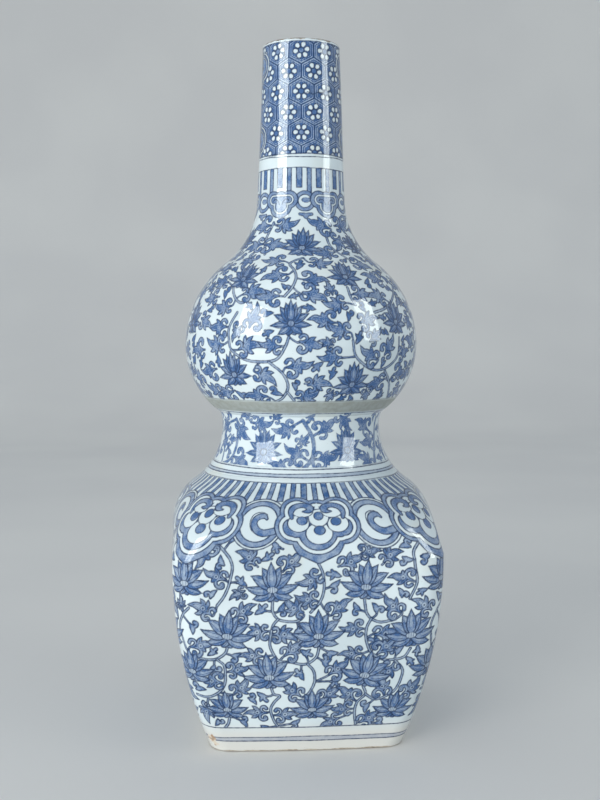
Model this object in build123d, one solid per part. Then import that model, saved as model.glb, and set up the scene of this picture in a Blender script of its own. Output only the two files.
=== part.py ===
from build123d import *
import os
from math import acos, asin, atan, atan2, cos, degrees, hypot, pi, radians, sin, tan

# A tall double gourd vase: a square lower body, a narrow round waist, a round bulb
# and a straight neck. It is built as a potter builds it, from clay sections that are
# made apart, stood on one another and joined with films of slip. Every joint is flat,
# so each section meets its film face to face.

# Heights of the clay sections, from the table up
foot_height = 6.0
base_thickness = 9.0
wall_height = 152.0
shoulder_height = 48.0
waist_height = 47.0
bulb_lower_height = 56.0
bulb_upper_height = 99.0
neck_height = 145.0

# The clay wall, the slip between two sections and the ridge of slip left inside
wall_thickness = 6.0
slip_thickness = 0.8
slip_ridge = 1.5

# Square lower body: half widths at mid side, where it is widest, and its corners
foot_half_width = 78.5
belly_half_width = 107.2
belly_below_seam = 10.0
foot_corner_radius = 17.0
belly_corner_radius = 22.0
side_crown_degrees = 3.0
round_crown_degrees = 22.5

# The shoulder turns in above its seam and sweeps into the waist
shoulder_straight = 5.0
shoulder_round_share = 0.42
corner_morph_power = 1.5

# Round upper part
waist_radius = 65.5
waist_below_seam = 11.0
waist_flare = 2.0
bulb_radius = 96.2
bulb_shoulder_round = 84.0
neck_sweep_round = 68.0
throat_radius = 36.4
rim_radius = 31.4
rim_straight = 8.0
lip_round = 2.6

# Outlines that the square body is lofted through, below and above the shoulder joint
wall_steps = 6
shoulder_steps = 8

# Cutting tools run past what they cut by this much
overrun = 5.0

# Joint heights
base_joint = foot_height
wall_joint = base_joint + base_thickness
shoulder_joint = wall_joint + wall_height
waist_joint = shoulder_joint + shoulder_height
bulb_joint = waist_joint + waist_height
equator_joint = bulb_joint + bulb_lower_height
neck_joint = equator_joint + bulb_upper_height
rim_height = neck_joint + neck_height


def sagitta_radius(run, drop):
    """Radius of the arc that starts square to a run and falls away by a drop at its end."""
    return (run * run + drop * drop) / (2 * drop)


# The side profile: an arc from foot to belly, a straight, then a convex arc and a
# concave arc that meet with one tangent, both upright where they end
belly_height = shoulder_joint - belly_below_seam
turn_height = shoulder_joint + shoulder_straight
waist_throat = bulb_joint - waist_below_seam
side_radius = sagitta_radius(belly_height, belly_half_width - foot_half_width)
sweep_run = waist_throat - turn_height
sweep_drop = belly_half_width - waist_radius
sweep_angle = 2 * atan(sweep_drop / sweep_run)
sweep_radii = sweep_run / sin(sweep_angle)
shoulder_radius = shoulder_round_share * sweep_radii
waist_hollow_radius = sweep_radii - shoulder_radius
inflection_height = turn_height + shoulder_radius * sin(sweep_angle)


def side_at(height):
    """Half width at mid side, and the slope of the wall from upright, at a height."""
    if height <= belly_height:
        slope = asin((belly_height - height) / side_radius)
        return belly_half_width - side_radius * (1 - cos(slope)), slope
    if height <= turn_height:
        return belly_half_width, 0
    if height <= inflection_height:
        slope = asin((height - turn_height) / shoulder_radius)
        return belly_half_width - shoulder_radius * (1 - cos(slope)), slope
    slope = asin((waist_throat - height) / waist_hollow_radius)
    return waist_radius + waist_hollow_radius * (1 - cos(slope)), slope


def corners_at(height, half_width):
    """Corner radius, and half the angle of the side arcs, at a height."""
    if height <= belly_height:
        share = height / belly_height
        radius = foot_corner_radius + share * (belly_corner_radius - foot_corner_radius)
        return radius, radians(side_crown_degrees)
    share = (height - belly_height) / (waist_joint - belly_height)
    radius = belly_corner_radius + share**corner_morph_power * (half_width - belly_corner_radius)
    crown = side_crown_degrees + share * (round_crown_degrees - side_crown_degrees)
    return radius, radians(crown)


def square_outline(height, inset):
    """The body's outline at a height, set in from its outer face by a wall.

    It is four shallow side arcs and four corner arcs, tangent where they meet. The side
    radius follows from the half width, the corner radius and the angle they share."""
    half_width, slope = side_at(height)
    corner_radius, crown = corners_at(height, half_width)
    inward = inset / cos(slope)
    half_width -= inward
    corner_radius -= inward
    share = cos(crown) - sin(crown)
    side_arc_radius = (half_width - corner_radius * share) / (1 - share)
    side_centre = side_arc_radius - half_width
    corner_centre = (side_arc_radius - corner_radius) * sin(crown)
    crown_degrees = degrees(crown)
    side = CenterArc((-side_centre, 0), side_arc_radius, -crown_degrees, 2 * crown_degrees)
    corner = CenterArc(
        (corner_centre, corner_centre), corner_radius, crown_degrees, 90 - 2 * crown_degrees
    )
    arcs = [Rot(0, 0, 90 * turn) * arc for turn in range(4) for arc in (side, corner)]
    return Pos(0, 0, height) * Face(Wire(arcs))


def wall_levels():
    """Heights of the outlines that the walls, base and foot are lofted through, evenly spaced."""
    return [shoulder_joint * step / wall_steps for step in range(wall_steps + 1)]


def shoulder_levels():
    """Heights of the outlines of the shoulder, evenly spaced along its side profile."""
    end_angle = asin((waist_throat - waist_joint) / waist_hollow_radius)
    straight = shoulder_straight
    convex = shoulder_radius * sweep_angle
    concave = waist_hollow_radius * (sweep_angle - end_angle)
    levels = []
    for step in range(shoulder_steps + 1):
        run = (straight + convex + concave) * step / shoulder_steps
        if run <= straight:
            levels.append(shoulder_joint + run)
        elif run <= straight + convex:
            levels.append(turn_height + shoulder_radius * sin((run - straight) / shoulder_radius))
        else:
            angle = sweep_angle - (run - straight - convex) / waist_hollow_radius
            levels.append(waist_throat - waist_hollow_radius * sin(angle))
    return levels


def square_body(levels, inset):
    """The solid inside the square body's outlines at some heights, set in by a wall."""
    return loft([square_outline(height, inset) for height in levels])


# Centres of the arcs of the round part's profile
bulb_seam_radius = waist_radius + waist_flare
waist_flare_radius = sagitta_radius(waist_below_seam, waist_flare)
bulb_lower_round = sagitta_radius(bulb_lower_height, bulb_radius - bulb_seam_radius)
bulb_lower_centre = (bulb_radius - bulb_lower_round, equator_joint)
bulb_upper_centre = (bulb_radius - bulb_shoulder_round, equator_joint)
bulb_sweep_angle = acos(
    (throat_radius + neck_sweep_round - bulb_upper_centre[0]) / (bulb_shoulder_round + neck_sweep_round)
)
sweep_centre = (
    throat_radius + neck_sweep_round,
    equator_joint + (bulb_shoulder_round + neck_sweep_round) * sin(bulb_sweep_angle),
)
neck_top = (rim_radius, rim_height - rim_straight)
sweep_away = (sweep_centre[0] - neck_top[0], neck_top[1] - sweep_centre[1])
neck_taper = atan2(*sweep_away) - asin(neck_sweep_round / hypot(*sweep_away))


def polar(centre, radius, angle):
    """The point at a radius and an angle about a centre."""
    return (centre[0] + radius * cos(angle), centre[1] + radius * sin(angle))


def arc_between(centre, radius, start, end):
    """The arc about a centre from one angle to another, in radians."""
    return CenterArc(centre, radius, degrees(start), degrees(end - start))


def round_body(inset):
    """The solid inside the round part's profile, set in by a wall.

    Hollow curves gain the wall on their radius and full curves lose it. A set-in solid
    runs past both ends, to cut them open."""
    past = overrun if inset else 0
    bottom = waist_joint - past
    hollow_centre = (waist_radius + waist_hollow_radius, waist_throat)
    flare_centre = (waist_radius + waist_flare_radius, waist_throat)
    corner = (bulb_seam_radius, bulb_joint)
    hollow = waist_hollow_radius + inset
    start = asin((waist_throat - bottom) / hollow)
    flare_end = atan2(waist_below_seam, flare_centre[0] - bulb_seam_radius)
    lower_start = atan2(bulb_joint - bulb_lower_centre[1], bulb_seam_radius - bulb_lower_centre[0])
    path = [
        arc_between(hollow_centre, hollow, pi + start, pi),
        arc_between(flare_centre, waist_flare_radius + inset, pi, pi - flare_end),
    ]
    if inset:
        path.append(arc_between(corner, inset, pi - flare_end, pi + lower_start))
    path.append(arc_between(bulb_lower_centre, bulb_lower_round - inset, lower_start, 0))
    path.append(arc_between(bulb_upper_centre, bulb_shoulder_round - inset, 0, bulb_sweep_angle))
    sweep = neck_sweep_round + inset
    path.append(arc_between(sweep_centre, sweep, pi + bulb_sweep_angle, pi + neck_taper))
    foot_of_neck = polar(sweep_centre, sweep, pi + neck_taper)
    neck_run = neck_top[1] - foot_of_neck[1]
    end_of_neck = (foot_of_neck[0] - neck_run * tan(neck_taper), neck_top[1])
    rim = (end_of_neck[0], rim_height + past)
    ends = Polyline(foot_of_neck, end_of_neck, rim, (0, rim[1]), (0, bottom), path[0] @ 0)
    profile = make_face(Plane.XZ * Wire(path + ends.edges()))
    return revolve(profile, Axis.Z)


def between(low, high):
    """A block that takes in everything between two heights."""
    width = 4 * belly_half_width
    return Pos(0, 0, (low + high) / 2) * Box(width, width, high - low)


def section(shell, low, high):
    """The part of a shell from the film of slip on one joint up to the next joint."""
    start = low + slip_thickness if low > 0 else low
    return shell & between(start, high)


def film(shell, joint):
    """The film of slip that lies on a flat joint."""
    return shell & between(joint, joint + slip_thickness)


def write(piece, node):
    """Writes one piece as one node's file."""
    piece.label = node
    export_step(piece, f"parts/{node}.step")
    print(node, len(piece.solids()), round(piece.volume))


def write_square_sections():
    """The foot ring, the base slab, four mitred walls, the shoulder and their slip."""
    body = square_body(wall_levels(), 0)
    shell = body - square_body(wall_levels(), wall_thickness)
    ridged = body - square_body(wall_levels(), wall_thickness + slip_ridge)
    write(section(shell, 0, base_joint), "foot_ring")
    write(film(shell, base_joint), "slip_foot")
    write(section(body, base_joint, wall_joint), "base_slab")
    write(film(ridged, wall_joint), "slip_base")
    diagonal = Box(4 * belly_half_width, slip_thickness, 2 * rim_height)
    mitres = Rot(0, 0, 45) * diagonal + Rot(0, 0, -45) * diagonal
    walls = section(shell, wall_joint, shoulder_joint) - mitres
    for wall in walls.solids():
        write(wall, f"wall_{side_name(wall)}")
    slips = section(ridged, wall_joint, shoulder_joint) & mitres
    for slip in slips.solids():
        write(slip, f"slip_corner_{corner_name(slip)}")


def write_shoulder():
    """The shoulder, and the slip between it and the walls."""
    body = square_body(shoulder_levels(), 0)
    shell = body - square_body(shoulder_levels(), wall_thickness)
    ridged = body - square_body(shoulder_levels(), wall_thickness + slip_ridge)
    write(film(ridged, shoulder_joint), "slip_shoulder")
    write(section(shell, shoulder_joint, waist_joint), "shoulder_dome")


def side_name(piece):
    """Which side of the body a wall is on: the front faces -Y."""
    middle = piece.center()
    if abs(middle.X) > abs(middle.Y):
        return "right" if middle.X > 0 else "left"
    return "back" if middle.Y > 0 else "front"


def corner_name(piece):
    """Which corner of the body a piece is in."""
    middle = piece.center()
    return ("back_" if middle.Y > 0 else "front_") + ("right" if middle.X > 0 else "left")


def write_round_sections():
    """The waist, the two bowls of the bulb, the neck and their slip."""
    body = round_body(0)
    shell = body - round_body(wall_thickness)
    ridged = body - round_body(wall_thickness + slip_ridge)
    write(section(shell, waist_joint, bulb_joint), "waist_collar")
    write(section(shell, bulb_joint, equator_joint), "bulb_lower")
    write(section(shell, equator_joint, neck_joint), "bulb_upper")
    neck = section(shell, neck_joint, rim_height)
    lip_edges = neck.faces().sort_by(Axis.Z)[-1].edges()
    write(fillet(lip_edges, lip_round), "neck")
    write(film(ridged, bulb_joint), "slip_waist_top")
    write(film(ridged, equator_joint), "slip_bulb")
    write(film(ridged, neck_joint), "slip_neck")
    write(film(ridged, waist_joint), "slip_waist_foot")


write_square_sections()
write_shoulder()
write_round_sections()
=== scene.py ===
# %% [markdown]
# A double gourd vase, painted in cobalt blue under a clear glaze.
#
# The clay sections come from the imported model, which stays as a fixed frame. This lesson
# dresses each section with a fine skin, paints it with a brush made of arithmetic, and
# gives it a glaze. Everything on the vase is worked out in millimetres and written in metres.

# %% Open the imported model
from math import cos, pi, radians, sin, tan

import bmesh
import bpy
import numpy as np
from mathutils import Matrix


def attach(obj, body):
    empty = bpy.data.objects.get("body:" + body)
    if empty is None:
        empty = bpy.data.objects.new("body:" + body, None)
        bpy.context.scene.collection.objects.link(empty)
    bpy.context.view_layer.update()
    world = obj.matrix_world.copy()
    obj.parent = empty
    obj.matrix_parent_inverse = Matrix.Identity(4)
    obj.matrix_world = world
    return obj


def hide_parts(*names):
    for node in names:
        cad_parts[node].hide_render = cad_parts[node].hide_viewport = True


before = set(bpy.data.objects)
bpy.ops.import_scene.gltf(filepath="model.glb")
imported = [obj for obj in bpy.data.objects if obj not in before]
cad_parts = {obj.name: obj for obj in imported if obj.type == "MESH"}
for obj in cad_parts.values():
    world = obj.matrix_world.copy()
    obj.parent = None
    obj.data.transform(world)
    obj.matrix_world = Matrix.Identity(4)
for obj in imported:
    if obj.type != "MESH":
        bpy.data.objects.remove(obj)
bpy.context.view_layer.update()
MM = 0.001
print("CAD nodes:", len(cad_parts))

# %% [markdown]
# The vase is a square body that turns into a round waist, a bulb and a neck. One profile
# tells its half width at every height, and the skin follows it. The sizes are those of the
# clay sections, so that each skin lies on its own section.

# %% The sizes of the clay sections
FOOT_HALF, BELLY_HALF, WAIST_RADIUS, BULB_RADIUS, THROAT_RADIUS, RIM_RADIUS = 78.5, 107.2, 65.5, 96.2, 36.4, 31.4
BELLY_HEIGHT, TURN_HEIGHT, WAIST_THROAT, EQUATOR = 157.0, 172.0, 251.0, 318.0
JOINTS = {"foot": 6.0, "base": 15.0, "shoulder": 167.0, "waist": 215.0, "bulb": 262.0, "equator": 318.0, "neck": 417.0}
WAIST_FLARE, BULB_ROUND, NECK_ROUND = 2.0, 84.0, 68.0
NECK_TOP, LIP_ROUND, RIM_HEIGHT = 554.0, 2.6, 562.0
FOOT_CORNER, BELLY_CORNER, SIDE_CROWN, ROUND_CROWN, MORPH_POWER = 17.0, 22.0, radians(3), radians(22.5), 1.5
WALL, SLIP, RIDGE = 6.0, 0.8, 1.5


def sagitta_radius(run, drop):
    """Radius of an arc: half of run squared plus drop squared, over drop."""
    return (run * run + drop * drop) / (2 * drop)


def arc(centre, radius, start, end):
    """Points of an arc: the centre plus the radius times cosine and sine of even angles."""
    angle = np.linspace(start, end, 240)
    return np.stack([centre[0] + radius * np.cos(angle), centre[1] + radius * np.sin(angle)], 1)


def vase_profile():
    """Half width and height along the outside: arcs from foot to belly, in to the waist, out
    round the bulb and in to the neck, joined end to end, with a straight neck on top."""
    side = sagitta_radius(BELLY_HEIGHT, BELLY_HALF - FOOT_HALF)
    sweep_run, sweep_drop = WAIST_THROAT - TURN_HEIGHT, BELLY_HALF - WAIST_RADIUS
    sweep = 2 * np.arctan(sweep_drop / sweep_run)
    full = 0.42 * sweep_run / sin(sweep)
    hollow = 0.58 * sweep_run / sin(sweep)
    flare = sagitta_radius(WAIST_THROAT - JOINTS["bulb"], WAIST_FLARE)
    seam_radius = WAIST_RADIUS + WAIST_FLARE
    lower = sagitta_radius(EQUATOR - JOINTS["bulb"], BULB_RADIUS - seam_radius)
    flare_end = np.arctan2(JOINTS["bulb"] - WAIST_THROAT, WAIST_RADIUS + flare - seam_radius)
    lower_start = np.arctan2(JOINTS["bulb"] - EQUATOR, seam_radius - BULB_RADIUS + lower)
    reach = BULB_ROUND + NECK_ROUND
    bulb_turn = np.arccos((THROAT_RADIUS + NECK_ROUND - BULB_RADIUS + BULB_ROUND) / reach)
    centre = (THROAT_RADIUS + NECK_ROUND, EQUATOR + reach * sin(bulb_turn))
    away = (centre[0] - RIM_RADIUS, NECK_TOP - centre[1])
    taper = np.arctan2(*away) - np.arcsin(NECK_ROUND / np.hypot(*away))
    return np.vstack([
        arc((BELLY_HALF - side, BELLY_HEIGHT), side, -np.arcsin(BELLY_HEIGHT / side), 0),
        arc((BELLY_HALF - full, TURN_HEIGHT), full, 0, sweep),
        arc((WAIST_RADIUS + hollow, WAIST_THROAT), hollow, pi + sweep, pi),
        arc((WAIST_RADIUS + flare, WAIST_THROAT), flare, pi, pi - flare_end),
        arc((BULB_RADIUS - lower, EQUATOR), lower, lower_start, 0),
        arc((BULB_RADIUS - BULB_ROUND, EQUATOR), BULB_ROUND, 0, bulb_turn),
        arc(centre, NECK_ROUND, pi + bulb_turn, pi + taper),
        [(RIM_RADIUS, NECK_TOP), (RIM_RADIUS, RIM_HEIGHT - LIP_ROUND)],
    ])


PROFILE = vase_profile()
PROFILE_RUN = np.concatenate([[0], np.cumsum(np.hypot(*np.diff(PROFILE, axis=0).T))])


def run_at(height):
    """Millimetres along the outside from the foot up to a height."""
    return np.interp(height, PROFILE[:, 1], PROFILE_RUN)


def at_run(run):
    """Half width, height and lean of the outside at a run. The lean is its slope from upright."""
    half, height = (np.interp(run, PROFILE_RUN, PROFILE[:, i]) for i in (0, 1))
    ahead, behind = (np.interp(run + step, PROFILE_RUN, PROFILE[:, 0]) for step in (0.5, -0.5))
    return half, height, np.arcsin(np.clip(ahead - behind, -0.9, 0.9))


print("outside from foot to rim:", round(PROFILE_RUN[-1]), "mm")

# %% [markdown]
# Seen from above, the square body is four shallow arcs and four corner arcs. Going up, the
# corners grow until the outline is a circle. A place on the vase is given by its turn, which
# is 0 in the middle of the front and 1 in the middle of the right side, and by its run.


# %% Places on the vase
def outline(turn, half, height, inset):
    """Points and outward directions, at a turn: an even walk along a side arc, then along a
    corner arc. The side radius follows from the half width, the corner radius and the crown."""
    share = np.clip((height - BELLY_HEIGHT) / (JOINTS["waist"] - BELLY_HEIGHT), 0, 1)
    low = FOOT_CORNER + np.minimum(height / BELLY_HEIGHT, 1) * (BELLY_CORNER - FOOT_CORNER)
    corner = np.where(share > 0, BELLY_CORNER + share**MORPH_POWER * (half - BELLY_CORNER), low)
    crown = SIDE_CROWN + share * (ROUND_CROWN - SIDE_CROWN)
    half, corner = half - inset, corner - inset
    squareness = np.cos(crown) - np.sin(crown)
    side = (half - corner * squareness) / (1 - squareness)
    corner_place = (side - corner) * np.sin(crown)
    side_length = 2 * crown * side
    girth = side_length + (pi / 2 - 2 * crown) * corner
    face = np.round(turn)
    walk = (turn - face) * girth
    on_side = np.minimum(np.abs(walk), side_length / 2)
    angle = np.where(np.abs(walk) > on_side, crown + (np.abs(walk) - on_side) / corner, on_side / side)
    out = np.where(np.abs(walk) > on_side, corner_place + corner * np.cos(angle), side * np.cos(angle) - side + half)
    along = np.where(np.abs(walk) > on_side, corner_place + corner * np.sin(angle), side * np.sin(angle))
    along, angle = along * np.sign(walk), angle * np.sign(walk)
    about = (face - 1) * pi / 2
    across, deep = np.cos(about), np.sin(about)
    place = np.stack([out * across - along * deep, out * deep + along * across, height + 0 * out], -1)
    away = np.stack([np.cos(angle + about), np.sin(angle + about), 0 * out], -1)
    return place, away, girth


def unevenness(place):
    """How far a thrown and pressed wall strays, in mm: three slow waves in different directions."""
    x, y, z = (place[..., i] / 60 for i in range(3))
    return 0.22 * np.sin(1.3 * x + 2.1 * z + 0.7) + 0.2 * np.sin(1.9 * y - 1.2 * z) + 0.14 * np.sin(2.6 * x - 1.7 * y)


CAMERA_FAR, CAMERA_HEIGHT, CAMERA_TURN, CAMERA_PITCH = 922.4, 334.8, radians(4), radians(3.96)
FOCAL_PIXELS, MIDDLE_X, MIDDLE_Y = 1100.0, 301.0, 400.0
EYE = np.array([-CAMERA_FAR * sin(CAMERA_TURN), -CAMERA_FAR * cos(CAMERA_TURN), CAMERA_HEIGHT])
LOOK = np.array([sin(CAMERA_TURN) * cos(CAMERA_PITCH), cos(CAMERA_TURN) * cos(CAMERA_PITCH), -sin(CAMERA_PITCH)])
RIGHT = np.array([cos(CAMERA_TURN), -sin(CAMERA_TURN), 0])
UP = np.cross(RIGHT, LOOK)

seek_turns, seek_runs = np.meshgrid(np.linspace(-1.2, 1.2, 481), np.arange(0, PROFILE_RUN[-1], 1.0))
seek_half, seek_height, _ = at_run(seek_runs)
seek_place, seek_away, seek_girth = outline(seek_turns, seek_half, seek_height, 0)
seen = seek_place - EYE
depth = seen @ LOOK
seek_x = MIDDLE_X + FOCAL_PIXELS * (seen @ RIGHT) / depth
seek_y = MIDDLE_Y - FOCAL_PIXELS * (seen @ UP) / depth
seek_x[(seen * seek_away).sum(-1) > 0] = 1e6
GIRTH_RUNS, GIRTHS = seek_runs[:, 0], seek_girth[:, 0]


def spot(x, y):
    """The turn and run of the place on the vase that the camera sees at a pixel."""
    nearest = np.argmin((seek_x - x) ** 2 + (seek_y - y) ** 2)
    return seek_turns.flat[nearest], seek_runs.flat[nearest]


print("a pixel in the middle lies at turn %.2f, run %.0f" % spot(301, 620))

# %% [markdown]
# The painting is kept as three fields on a fine grid over the glaze: how deep a place lies
# inside a dark line, how deep it lies inside a wash, and how strong that wash is. Depths are
# in millimetres, below zero outside, so the material can cut a crisp edge between two grid
# points. An image would do as well, but fields stay sharp at any size and follow the clay.

# %% A canvas, and a window on it
FAR = 50.0


class Canvas:
    """Turns across, runs up, and the painting's fields line, wash and tone on that grid."""

    def __init__(self, turns, runs):
        self.turns, self.runs = turns, runs
        self.girths = np.interp(runs, GIRTH_RUNS, GIRTHS)
        shape = (len(runs), len(turns))
        self.line, self.wash = np.full(shape, -FAR), np.full(shape, -FAR)
        self.tone = np.full(shape, 0.6)

    def near(self, turn, run, reach):
        """The window within a reach of a place, or None where the canvas has none of it."""
        rows = np.nonzero(np.abs(self.runs - run) < reach)[0]
        away = (self.turns - turn + 2) % 4 - 2
        columns = np.nonzero(np.abs(away) * np.interp(run, GIRTH_RUNS, GIRTHS) < reach)[0]
        return Window(self, rows, columns, away, run) if len(rows) and len(columns) else None

    def rows(self, low, high):
        """The whole way round, between two runs."""
        rows = np.nonzero((self.runs > low) & (self.runs < high))[0]
        return Window(self, rows, np.arange(len(self.turns)), self.turns, 0) if len(rows) else None


class Window:
    """A part of a canvas, with x and y in millimetres from its own centre."""

    def __init__(self, canvas, rows, columns, away, run):
        self.canvas, self.where = canvas, np.ix_(rows, columns)
        self.x = away[columns][None, :] * canvas.girths[rows][:, None]
        self.y = np.broadcast_to((canvas.runs[rows] - run)[:, None], self.x.shape)
        self.line, self.wash, self.tone = (f[self.where] for f in (canvas.line, canvas.wash, canvas.tone))
        self.turned()

    def turned(self, lean=0, flip=1, size=1.0):
        """Turns, mirrors and sizes what comes next: its own axis v points up before the lean."""
        across, up = cos(radians(lean)), sin(radians(lean))
        self.u = (self.x * across + self.y * up) * flip / size
        self.v = (self.y * across - self.x * up) / size
        self.size = size
        return self

    def fill(self, inside, outline=0.9, tone=0.8, paint=True):
        """Covers what lies under a shape, given by its inside depth, and draws round its edge."""
        inside = inside * self.size
        self.line = np.maximum(np.minimum(self.line, -inside), outline / 2 - np.abs(inside))
        if paint:
            self.wash = np.maximum(self.wash, inside)
            self.tone = np.where(inside > 0, tone, self.tone)
        else:
            self.wash = np.minimum(self.wash, -inside)

    def shade(self, inside, tone):
        """Washes a part of what is there lighter or darker, with no outline."""
        self.tone = np.where((inside > 0) & (self.wash > 0), tone, self.tone)

    def draw(self, inside):
        """Draws a dark line over what is there."""
        self.line = np.maximum(self.line, inside * self.size)

    def keep(self):
        """Puts the window back into its canvas."""
        self.canvas.line[self.where] = self.line
        self.canvas.wash[self.where] = self.wash
        self.canvas.tone[self.where] = self.tone


def paint(canvas, motif, turn, run, lean=0, flip=1, size=1.0, reach=23, **detail):
    """Paints one motif at a place, if the canvas has that place."""
    window = canvas.near(turn, run, reach * size)
    if window:
        motif(window.turned(lean, flip, size), **detail)
        window.keep()


# %% [markdown]
# A brush stroke is a path with a width. Its inside depth is the stroke's half width less the
# distance to the path, and the deepest of several strokes gives a shape with one outline.


# %% Brush strokes
def stroke(x, y, path, half):
    """Inside depth of a stroke: over its straight pieces, the most of half width less distance."""
    best = np.full(x.shape, -FAR)
    for start, end, near, far in zip(path[:-1], path[1:], half[:-1], half[1:]):
        step = end - start
        share = np.clip(((x - start[0]) * step[0] + (y - start[1]) * step[1]) / max(step @ step, 1e-9), 0, 1)
        away = np.hypot(x - start[0] - share * step[0], y - start[1] - share * step[1])
        best = np.maximum(best, near + share * (far - near) - away)
    return best


def disc(x, y, across, up, radius, flat=1.0):
    """Inside depth of a disc, or of an oval that is flat times as tall."""
    return radius - np.hypot(x - across, (y - up) / flat)


def curve(points, steps=5):
    """A smooth path through points: on each stretch a cubic leans along its two neighbours."""
    p = np.asarray(points, float)
    q = np.vstack([2 * p[0] - p[1], p, 2 * p[-1] - p[-2]])
    t = np.arange(steps)[None, :, None] / steps
    a, b, c, d = (q[i : len(q) - 3 + i][:, None, :] for i in range(4))
    path = 0.5 * (2 * b + (c - a) * t + (2 * a - 5 * b + 4 * c - d) * t**2 + (3 * b - a - 3 * c + d) * t**3)
    return np.vstack([path.reshape(-1, 2), p[-1:]])


def swell(count, rise=0.6, fall=0.8):
    """Widths from nothing to one and back: a power of the share run times one of the rest."""
    share = np.linspace(0, 1, count)
    width = share**rise * (1 - share) ** fall
    return width / width.max()


def even(path, half):
    """The same half width all along a path."""
    return np.full(len(path), half)


def coil(across, up, radius, turns, start, shrink=0.25):
    """A path that winds in to a centre: its radius falls evenly to a share of its first."""
    share = np.linspace(0, 1, int(abs(turns) * 10) + 3)
    angle = radians(start) + share * turns * 2 * pi
    reach = radius * (1 - (1 - shrink) * share)
    return np.stack([across + reach * np.cos(angle), up + reach * np.sin(angle)], 1)


# %% [markdown]
# The field is strewn with lotus flowers. A painter outlines the outer petals first and the
# middle one last, fills them with a thin wash, and pulls a vein or two through each.


# %% The lotus
def petal(w, lean, length, half, bend, tone, outline):
    """A pointed petal from the seed pod: a bent stroke that swells, with two veins."""
    along = np.array([sin(radians(lean)), cos(radians(lean))])
    across = np.array([along[1], -along[0]])
    share = np.linspace(0.08, 1.05, 10)[:, None]
    path = share * length * along + bend * 4 * share * (1 - share) * across
    width = half * swell(10, 0.8, 1.25)
    w.fill(stroke(w.u, w.v, path, width), outline, tone)
    w.shade(stroke(w.u, w.v, path[3:8], 0.3 * width[3:8]), tone * 0.8)
    for side in (-0.42, 0.42):
        vein = path[2:8] + side * width[2:8, None] * across
        w.draw(stroke(w.u, w.v, vein, even(vein, 0.2)))


# Each petal: its lean, its length, half its width and its bend. The last lies on top.
BODY_PETALS = ((158, 9.0, 3.6, 0), (-160, 8.8, 3.6, 0), (114, 15.6, 3.7, 1.2), (-113, 15.6, 3.7, -1.2),
               (80, 19.8, 3.4, 1.5), (-81, 19.6, 3.4, -1.5), (52, 19.2, 4.1, -1.0), (-52, 18.6, 4.1, 1.0),
               (22, 18.6, 4.1, -1.0), (-21, 18.0, 4.1, 1.0), (0, 20.6, 3.7, 0))
BULB_PETALS = ((160, 9.5, 3.4, 0), (-162, 9.5, 3.4, 0), (-128, 12.8, 3.1, -0.8), (132, 12.2, 3.1, 0.6),
               (-94, 16.4, 2.7, 0), (96, 15.8, 2.7, 0), (-60, 15.2, 3.1, 0.5), (61, 15.8, 3.1, -0.5),
               (-31, 16.2, 3.4, 0.3), (31, 16.4, 3.4, -0.3), (-13, 17.6, 3.2, 0.2), (13, 17.6, 3.2, -0.2),
               (0, 19.4, 3.0, 0))
# How strongly the fields are painted, as tone and outline: the body, the bulb and the waist.
STRENGTH = ((0.88, 0.95), (1.02, 0.8), (1.0, 0.3))


def lotus(w, form=0):
    """A lotus in flower: an open one with a striped pod, or a full one with a round pod."""
    tone, outline = STRENGTH[form]
    full = form > 0
    for lean, length, half, bend in BULB_PETALS if full else BODY_PETALS:
        petal(w, lean, length, half, bend, tone, outline)
    w.fill(disc(w.u, w.v, 0, 0.3, 2.7 if full else 4.1, 1.0 if full else 0.6), 0.9, 0.8 if full else 0.5)
    for across in (0,) if full else (-1.7, 0, 1.7):
        w.draw(stroke(w.u, w.v, np.array([(across, -1.6), (across, 2.0)]), (0.22, 0.22)))


# %% [markdown]
# Curling leaves fill the ground between the flowers. Each has a pointed blade, side blades,
# and curls that turn back towards its stem, with white left inside them. No two leaves in a
# row are alike, so there are three forms, and two of small shoots.


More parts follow.
